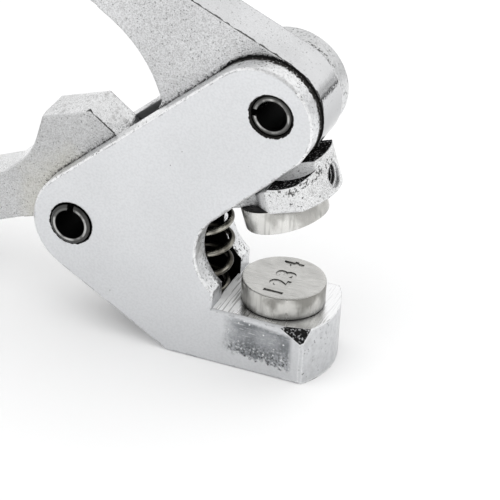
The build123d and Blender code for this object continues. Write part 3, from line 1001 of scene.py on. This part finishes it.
class Piece:
    """Base for new visual pieces: shapes a primitive as by hand and gives it to the frame."""

    @staticmethod
    def only(obj: bpy.types.Object) -> None:
        """Make an object the active and only selected one.

        Args:
            obj: The object.
        """
        bpy.ops.object.select_all(action="DESELECT")
        obj.select_set(True)
        bpy.context.view_layer.objects.active = obj

    @staticmethod
    def started(name: str) -> bpy.types.Object:
        """Name the primitive that was just added and put its place into its mesh.

        Args:
            name: Name of the piece.

        Returns:
            The object.
        """
        obj = bpy.context.object
        obj.name = name
        bpy.ops.object.transform_apply(location=True, rotation=True, scale=True)
        return obj

    @staticmethod
    def pick(test: Callable[[bmesh.types.BMFace], bool]) -> None:
        """Select some faces of the edited mesh and no others.

        Args:
            test: Says of a face whether it is selected.
        """
        bpy.ops.mesh.select_mode(type="FACE")
        bpy.ops.mesh.select_all(action="DESELECT")
        mesh = bpy.context.edit_object.data
        work = bmesh.from_edit_mesh(mesh)
        for face in work.faces:
            face.select_set(test(face))
        bmesh.update_edit_mesh(mesh)

    def wind(self, obj: bpy.types.Object, axis: str, turns: float, rise: float, per_turn: int) -> None:
        """Wind a section about an axis through the origin and close its ends.

        Args:
            obj: The section.
            axis: Letter of the axis.
            turns: Number of turns.
            rise: Way along the axis.
            per_turn: Steps in a turn.
        """
        self.only(obj)
        helix = obj.modifiers.new("helix", "SCREW")
        helix.axis = axis
        helix.angle = 2 * math.pi * turns
        helix.screw_offset = rise
        helix.steps = round(turns * per_turn)
        helix.render_steps = helix.steps
        bpy.ops.object.modifier_apply(modifier=helix.name)
        bpy.ops.object.mode_set(mode="EDIT")
        bpy.ops.mesh.select_all(action="SELECT")
        bpy.ops.mesh.fill_holes(sides=0)
        bpy.ops.mesh.select_all(action="SELECT")
        bpy.ops.mesh.normals_make_consistent(inside=False)
        bpy.ops.object.mode_set(mode="OBJECT")

    def smooth(self, obj: bpy.types.Object, angle: float) -> None:
        """Shade smooth, with edges sharp above an angle in degrees."""
        self.only(obj)
        bpy.ops.object.shade_smooth_by_angle(angle=math.radians(angle))

    @staticmethod
    def settle(obj: bpy.types.Object, body: Body, slot: Slot, material: bpy.types.Material) -> None:
        """Give a piece its material and body.

        Args:
            obj: The mesh object, in place.
            body: Body that carries it.
            slot: Record slot of its finish; not used.
            material: Its material.
        """
        obj.data.materials.clear()
        obj.data.materials.append(material)
        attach(obj, body.value)
        LOG.info("%s: %d faces on %s", obj.name, len(obj.data.polygons), body.value)


@dataclass
class ReturnSpring(Piece):
    """Compression spring with closed ends; its top leans and tilts with the open jaw."""

    x: float = -15.5 * MM
    bottom: float = 4.45 * MM
    top: float = 29.0 * MM
    diameter: float = 9.0 * MM
    wire: float = 1.25 * MM
    open_turns: float = 4.9
    end_turns: float = 0.8
    end_rise: float = 0.62 * MM
    wire_lean: float = 0.8 * MM
    top_lean: float = -0.4 * MM
    lean_from: float = 10.5 * MM
    tilt: float = 0.2
    per_turn: int = 40
    sides: int = 14
    sharp: float = 60.0
    closed_share: float = 0.62

    @property
    def turns(self) -> float:
        """Number of turns from end to end."""
        return self.open_turns + 2 * self.end_turns

    @property
    def pitch(self) -> float:
        """Rise of each turn before the ends are closed."""
        return (self.top - self.bottom - self.wire) / self.turns

    def build(self) -> None:
        """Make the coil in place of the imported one."""
        middle = (self.diameter - self.wire) / 2
        bpy.ops.object.select_all(action="DESELECT")
        bpy.ops.mesh.primitive_circle_add(
            vertices=self.sides, radius=self.wire / 2, location=(middle, 0, 0), rotation=(math.pi / 2, 0, 0))
        obj = self.started("return_coil")
        self.wind(obj, "Z", self.turns, self.pitch * self.turns, self.per_turn)
        for vertex in obj.data.vertices:
            vertex.co = self.seated(vertex.co)
        self.smooth(obj, self.sharp)
        self.settle(obj, Body.FRAME, Slot.SPRING, WireFinish().material())
        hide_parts("return_spring")
        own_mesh(obj)

    def seated(self, point: Vector) -> Vector:
        """Place of a point of the even coil once its ends are closed and its top leans.

        Args:
            point: Point of the even coil about the Z axis.

        Returns:
            The point in the press.
        """
        part = math.atan2(point.y, point.x) / (2 * math.pi)
        turn = part + round(point.z / self.pitch - part)
        height = self.height(turn) + point.z - self.pitch * turn
        rise = max(0.0, height - self.lean_from) / (self.top - self.lean_from)
        lean = self.wire_lean * math.sin(math.pi * min(1.0, rise)) + self.top_lean * rise
        return Vector((self.x + point.x + lean, point.y, height + self.tilt * point.x * rise))

    def height(self, turn: float) -> float:
        """Height of the wire's middle after a number of turns.

        Args:
            turn: Turns from the lower end.

        Returns:
            Height in metres.
        """
        low = self.bottom + self.wire / 2
        high = self.top - self.wire / 2
        if turn < self.end_turns:
            return low + self.end_rise * turn
        if turn > self.turns - self.end_turns:
            return high - self.end_rise * (self.turns - turn)
        share = (turn - self.end_turns) / self.open_turns
        closed = self.end_rise * self.end_turns
        return low + closed + share * (high - low - 2 * closed)


@dataclass
class Die(Piece):
    """Turned die with plain digits sunk into its dished face.

    Args:
        node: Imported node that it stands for.
        body: Body that carries it.
        digits: Digits on the face.
        place: Transform from face-up at the origin to its place.
    """

    node: str
    body: Body
    digits: str
    place: Matrix
    radius: float = 7.9375
    head: float = 4.5
    shank_radius: float = 3.175
    shank: float = 7.6
    edge: float = 0.25
    dish: float = 0.18
    dish_rings: tuple[Span, ...] = ((0.15, 0.7), (0.3, 0.3))
    digit_height: float = 3.7
    stroke: float = 0.14
    depth: float = 0.36
    text_scale: float = 1.4
    spacing: float = 1.36
    merge: float = 1e-4
    flat: float = 0.99
    sides: int = 128
    sharp: float = 30.0

    def build(self, material: bpy.types.Material) -> None:
        """Make the die, in millimetres until its digits are cut.

        Args:
            material: Finish of the steel.
        """
        bpy.ops.object.select_all(action="DESELECT")
        bpy.ops.mesh.primitive_cylinder_add(
            vertices=self.sides, radius=self.radius, depth=self.head, location=(0, 0, -self.head / 2))
        obj = self.started(self.node + "_turned")
        self.turn()
        self.engrave(obj)
        obj.data.transform(self.place @ Matrix.Scale(MM, 4))
        self.smooth(obj, self.sharp)
        self.settle(obj, self.body, Slot.DIE, material)
        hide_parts(self.node)

    def turn(self) -> None:
        """Break the edges of the head, draw out the shank and dish the face."""
        bpy.ops.object.mode_set(mode="EDIT")
        self.pick(lambda face: abs(face.normal.z) > self.flat)
        self.break_rims()
        self.pick(lambda face: face.normal.z < -self.flat)
        bpy.ops.mesh.inset(thickness=self.radius - self.edge - self.shank_radius)
        bpy.ops.mesh.extrude_region_move(TRANSFORM_OT_translate={"value": (0, 0, -self.shank)})
        self.break_rims()
        self.pick(lambda face: face.normal.z > self.flat)
        bpy.ops.mesh.inset(thickness=self.edge)
        for width, fall in self.dish_rings:
            bpy.ops.mesh.inset(thickness=width * self.radius, depth=-fall * self.dish)
        bpy.ops.object.mode_set(mode="OBJECT")

    def break_rims(self) -> None:
        """Bevel the rims of the selected faces."""
        bpy.ops.mesh.region_to_loop()
        bpy.ops.mesh.bevel(offset=self.edge, segments=2, affect="EDGES")

    def engrave(self, obj: bpy.types.Object) -> None:
        """Sink the digits into the face.

        Args:
            obj: The turned die.
        """
        bpy.ops.object.select_all(action="DESELECT")
        bpy.ops.object.text_add(rotation=(0, 0, math.pi / 2))
        text = bpy.context.object
        text.data.body = self.digits
        text.data.size = self.digit_height * self.text_scale
        text.data.align_x = "CENTER"
        text.data.align_y = "CENTER"
        text.data.extrude = self.depth
        text.data.offset = self.stroke
        text.data.space_character = self.spacing
        bpy.ops.object.convert(target="MESH")
        self.started("digits")
        bpy.ops.object.mode_set(mode="EDIT")
        bpy.ops.mesh.select_all(action="SELECT")
        bpy.ops.mesh.remove_doubles(threshold=self.merge)
        bpy.ops.mesh.normals_make_consistent(inside=False)
        bpy.ops.object.mode_set(mode="OBJECT")
        cut = obj.modifiers.new("digits", "BOOLEAN")
        cut.operation = "DIFFERENCE"
        cut.solver = "EXACT"
        cut.use_self = True
        cut.object = text
        self.only(obj)
        bpy.ops.object.modifier_apply(modifier=cut.name)
        bpy.data.objects.remove(text)


@dataclass
class HoleThread(Piece):
    """Thread that shows in the mouth of the jaw's screw hole."""

    place: Matrix
    radius: float = 2.3 * MM
    ridge: float = 0.37 * MM
    start: float = 8.2 * MM
    end: float = 11.1 * MM
    pitch: float = 0.8 * MM
    per_turn: int = 40
    sharp: float = 40.0

    def build(self, material: bpy.types.Material) -> None:
        """Wind a pointed ridge about X, in the wall of the hole.

        Args:
            material: Finish of the lever.
        """
        bpy.ops.object.select_all(action="DESELECT")
        bpy.ops.mesh.primitive_circle_add(
            vertices=3, radius=self.ridge, location=(self.start, self.radius, 0), rotation=(0, 0, math.pi))
        obj = self.started("jaw_hole_thread")
        length = self.end - self.start
        self.wind(obj, "X", length / self.pitch, length, self.per_turn)
        obj.data.transform(self.place)
        self.smooth(obj, self.sharp)
        self.settle(obj, Body.JAW, Slot.LEVER, material)


@dataclass
class Press:
    """The whole press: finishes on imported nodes, and the new pieces."""

    open_angle: float = 19.1
    face_height: float = 16.0 * MM
    screw_height: float = 23.5 * MM

    def opened(self) -> Matrix:
        """Turn of the jaw about the rear pin, from level to the open press."""
        axle = Matrix.Translation((REAR_PIN[0], 0, REAR_PIN[1]))
        return axle @ Matrix.Rotation(math.radians(-self.open_angle), 4, "Y") @ axle.inverted()

    def paint(self, node: str, material: bpy.types.Material) -> None:
        """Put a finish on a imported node.

        Args:
            node: Name of the node.
            material: Its material.
        """
        data = frame["nodes"][node].data
        data.materials.clear()
        data.materials.append(material)
        LOG.info("%s: %s", node, material.name)

    def build(self) -> None:
        """Finish every piece in order."""
        jaw = LeverFinish(
            "sandy_nickel_jaw", side_color=(0.66, 0.665, 0.67), top_lit_color=(0.89, 0.895, 0.9),
            front_shade_color=(0.7, 0.705, 0.71), top_sand=0.55, edge_line_from=-38.6 * MM, cam_polish=0.0,
            hump_crumple=0.36, gap_shade_from=0.38).material()
        handle = LeverFinish("sandy_nickel_handle", side_color=(0.8, 0.805, 0.815)).material()
        screw = ScrewFinish().material()
        self.paint("frame", CastingFinish().material())
        self.paint("jaw_lever", jaw)
        self.paint("upper_handle", handle)
        self.paint("rear_pivot_pin", PinFinish("rear_pin_steel", REAR_PIN).material())
        self.paint("front_pivot_pin", PinFinish("front_pin_steel", FRONT_PIN).material())
        self.paint("upper_die_screw", screw)
        self.paint("lower_die_screw", screw)
        ReturnSpring().build()
        lower = Matrix.Translation((0, 0, self.face_height))
        upper = self.opened() @ lower @ Matrix.Rotation(math.pi, 4, "X")
        lower_steel = DieFinish("lower_die_steel", seat_facing=-1.0)
        upper_steel = DieFinish(
            "upper_die_steel", seat_facing=1.0, side_color=(0.74, 0.735, 0.71), banding=0.5)
        Die("lower_die", Body.FRAME, "1234", lower).build(lower_steel.material())
        Die("upper_die", Body.JAW, "5678", upper).build(upper_steel.material())
        hole = self.opened() @ Matrix.Translation((0, 0, self.screw_height))
        HoleThread(hole).build(jaw)


@dataclass
class Studio:
    """Pale floor, white surroundings, soft lamps and the photograph's camera."""

    eye: Triple = (163.12 * MM, -468.87 * MM, 312.20 * MM)
    azimuth: float = 19.18
    elevation: float = 31.75
    roll: float = 3.97
    aim: Span = (-0.00997, 0.02506)
    lens: float = 224.0
    sensor: float = 36.0
    clip: Span = (0.01, 20.0)
    target: Triple = (-0.03, 0.0, 0.04)
    lamp_size: float = 0.7
    floor_size: float = 16.0
    floor_color: Color = (0.97, 0.97, 0.97)
    floor_roughness: float = 0.9
    world_light: float = 1.0
    zenith: float = 0.55
    zenith_band: Span = (0.6, 0.98)
    horizon: float = 0.5
    horizon_band: Span = (-0.02, 0.16)
    dark_color: Color = (0.02, 0.02, 0.02)
    card_size: float = 0.5
    card_behind: float = 0.3
    ground_turn: float = 54.5
    ground_from: float = 0.43
    ground_size: float = 5.0
    ground_lift: float = 0.002
    ground_far: Color = (0.6, 0.6, 0.6)
    ground_fade: Span = (0.12, 0.7)

    def build(self) -> None:
        """Set up the stage."""
        self.world()
        self.floor()
        self.lamp("key", Vector((-0.35, -0.45, 0.75)), 1.1)
        self.lamp("fill", Vector((0.7, -0.3, 0.5)), 0.6)
        self.lamp("back", Vector((0.1, 0.7, 0.6)), 0.7)
        self.dark_card()
        self.dark_ground()
        self.camera()
        bpy.context.scene.view_settings.view_transform = "Standard"

    def axes(self) -> tuple[Vector, Vector, Vector]:
        """Camera directions in the photograph.

        Returns:
            Right, up and back.
        """
        around, above, roll = (math.radians(angle) for angle in (self.azimuth, self.elevation, self.roll))
        level = Vector((math.cos(around), math.sin(around), 0))
        ahead = Vector((math.sin(around), -math.cos(around), 0))
        back = ahead * math.cos(above) + Vector((0, 0, math.sin(above)))
        upright = back.cross(level)
        right = level * math.cos(roll) + upright * math.sin(roll)
        up = upright * math.cos(roll) - level * math.sin(roll)
        return right, up, back

    def camera(self) -> None:
        """Place the camera at the photograph's eye point."""
        right, up, back = self.axes()
        back = (back - right * self.aim[0] - up * self.aim[1]).normalized()
        right = up.cross(back).normalized()
        up = back.cross(right)
        data = bpy.data.cameras.new("photo_view")
        data.lens = self.lens
        data.sensor_width = self.sensor
        data.clip_start, data.clip_end = self.clip
        obj = bpy.data.objects.new("photo_view", data)
        turn = Matrix((right, up, back)).transposed().to_4x4()
        obj.matrix_world = Matrix.Translation(self.eye) @ turn
        bpy.context.scene.collection.objects.link(obj)
        bpy.context.scene.camera = obj

    def world(self) -> None:
        """White surroundings that light the press at a plain level."""
        world = bpy.data.worlds.new("studio")
        bpy.context.scene.world = world
        world.use_nodes = True
        sky = Nodes(world.node_tree)
        shade = sky.tree.nodes["Background"]
        shade.inputs["Color"].default_value = (1.0, 1.0, 1.0, 1.0)
        height = sky.parts(sky.node("ShaderNodeTexCoord").outputs["Generated"])[2]
        overhead = sky.ramp(height, *self.zenith_band, 1.0, self.zenith)
        low = sky.ramp(height, *self.horizon_band, self.horizon, 1.0)
        path = sky.node("ShaderNodeLightPath")
        seen = sky.either(path.outputs["Is Camera Ray"], path.outputs["Is Transmission Ray"])
        light = sky.blend(path.outputs["Is Glossy Ray"], self.world_light, sky.both(overhead, low))
        sky.feed(shade.inputs["Strength"], sky.blend(seen, light, 1.0))

    @staticmethod
    def board(shader: Shader, size: float, color: Feed, roughness: float) -> bpy.types.Object:
        """Add a plain board to the stage.

        Args:
            shader: Its material, which names it.
            size: Side of its square.
            color: Its colour.
            roughness: Its roughness.

        Returns:
            The board, flat at the origin.
        """
        bpy.ops.object.select_all(action="DESELECT")
        bpy.ops.mesh.primitive_plane_add(size=size)
        obj = bpy.context.object
        obj.name = shader.material.name
        shader.feed(shader.surface.inputs["Base Color"], color)
        shader.surface.inputs["Roughness"].default_value = roughness
        obj.data.materials.append(shader.material)
        return obj

    @staticmethod
    def only_mirrored(obj: bpy.types.Object) -> None:
        """Hide a board from all but the metal's reflections.

        Args:
            obj: The board.
        """
        obj.visible_camera = False
        obj.visible_diffuse = False
        obj.visible_shadow = False

    def floor(self) -> None:
        """Pale floor under the press."""
        self.board(Shader("studio_floor"), self.floor_size, (*self.floor_color, 1.0), self.floor_roughness)

    def dark_card(self) -> None:
        """Dark card behind the camera, which the metal mirrors."""
        right, up, back = self.axes()
        obj = self.board(Shader("dark_card"), self.card_size, (*self.dark_color, 1.0), 1.0)
        turn = Matrix((right, up, back)).transposed().to_4x4()
        obj.matrix_world = Matrix.Translation(Vector(self.eye) + back * self.card_behind) @ turn
        self.only_mirrored(obj)

    def dark_ground(self) -> None:
        """Dark ground behind the white table, which only the polished cam mirrors."""
        shader = Shader("dark_ground")
        near, far = (fade - self.ground_size / 2 for fade in self.ground_fade)
        tint = shader.mix(shader.ramp(shader.x, near, far), self.dark_color, self.ground_far)
        obj = self.board(shader, self.ground_size, tint, 1.0)
        way = math.radians(self.ground_turn)
        middle = self.ground_from + self.ground_size / 2
        obj.location = (middle * math.cos(way), middle * math.sin(way), self.ground_lift)
        obj.rotation_euler = (0, 0, way)
        self.only_mirrored(obj)

    def lamp(self, name: str, place: Vector, power: float) -> None:
        """Add a soft area lamp aimed at the press.

        Args:
            name: Name of the lamp.
            place: Its place.
            power: Its power in watts.
        """
        data = bpy.data.lights.new(name, "AREA")
        data.size = self.lamp_size
        data.energy = power
        obj = bpy.data.objects.new(name, data)
        obj.location = place
        obj.rotation_mode = "QUATERNION"
        obj.rotation_quaternion = (place - Vector(self.target)).to_track_quat("Z", "Y")
        obj.visible_glossy = False
        bpy.context.scene.collection.objects.link(obj)


def main() -> None:
    """Build the scene in order."""
    logging.basicConfig(level=logging.INFO, format="%(name)s: %(message)s")
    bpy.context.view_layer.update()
    Press().build()
    Studio().build()


if __name__ == "__main__":
    main()
